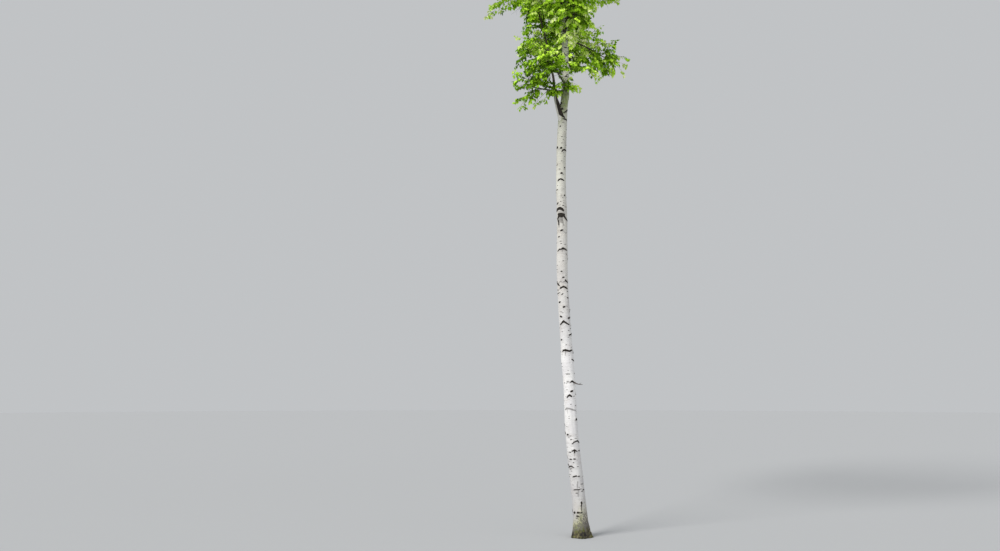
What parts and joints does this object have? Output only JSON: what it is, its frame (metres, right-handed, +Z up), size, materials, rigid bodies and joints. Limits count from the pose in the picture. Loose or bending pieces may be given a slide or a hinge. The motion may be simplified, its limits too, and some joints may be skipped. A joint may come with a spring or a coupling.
{
  "type": "birch tree",
  "caption": "Tall slender white-barked birch in leaf, with a bare leaning trunk, thin boughs and an open, narrow, tall crown, rooted in level ground.",
  "frame": {"origin": "middle of the flat cut under the trunk at ground level", "axes": "+Z up along the trunk, -Y towards the viewer of the picture, +X to the viewer's right"},
  "size_m": [2.4491, 2.4093, 12.0765],
  "materials": {
    "bark_white": "papery chalk-white bark with dark chevrons, eye knots and fine level lenticels, rough and grey-green at the foot",
    "bark_bough": "thin grey-brown bark, paler where it leaves the trunk",
    "leaves": "fresh yellow-green summer leaves, smooth, half matt"
  },
  "bodies": {
    "root": {"bough_01": "bark_bough", "bough_02": "bark_bough", "bough_03": "bark_bough", "bough_04": "bark_bough", "bough_05": "bark_bough", "bough_06": "bark_bough", "bough_07": "bark_bough", "bough_08": "bark_bough", "bough_09": "bark_bough", "bough_10": "bark_bough", "bough_11": "bark_bough", "bough_12": "bark_bough", "bough_13": "bark_bough", "bough_14": "bark_bough", "bough_15": "bark_bough", "bough_16": "bark_bough", "bough_17": "bark_bough", "bough_18": "bark_bough", "bough_19": "bark_bough", "bough_20": "bark_bough", "bough_21": "bark_bough", "bough_22": "bark_bough", "bough_23": "bark_bough", "bough_24": "bark_bough", "foliage_01": "leaves", "foliage_02": "leaves", "foliage_03": "leaves", "foliage_04": "leaves", "foliage_05": "leaves", "foliage_06": "leaves", "foliage_07": "leaves", "foliage_08": "leaves", "foliage_09": "leaves", "foliage_10": "leaves", "foliage_11": "leaves", "foliage_12": "leaves", "foliage_13": "leaves", "foliage_14": "leaves", "foliage_15": "leaves", "foliage_16": "leaves", "foliage_17": "leaves", "foliage_18": "leaves", "foliage_19": "leaves", "foliage_20": "leaves", "foliage_21": "leaves", "foliage_22": "leaves", "foliage_23": "leaves", "foliage_24": "leaves", "foliage_25": "leaves", "trunk": "bark_white"}
  },
  "joints": []
}
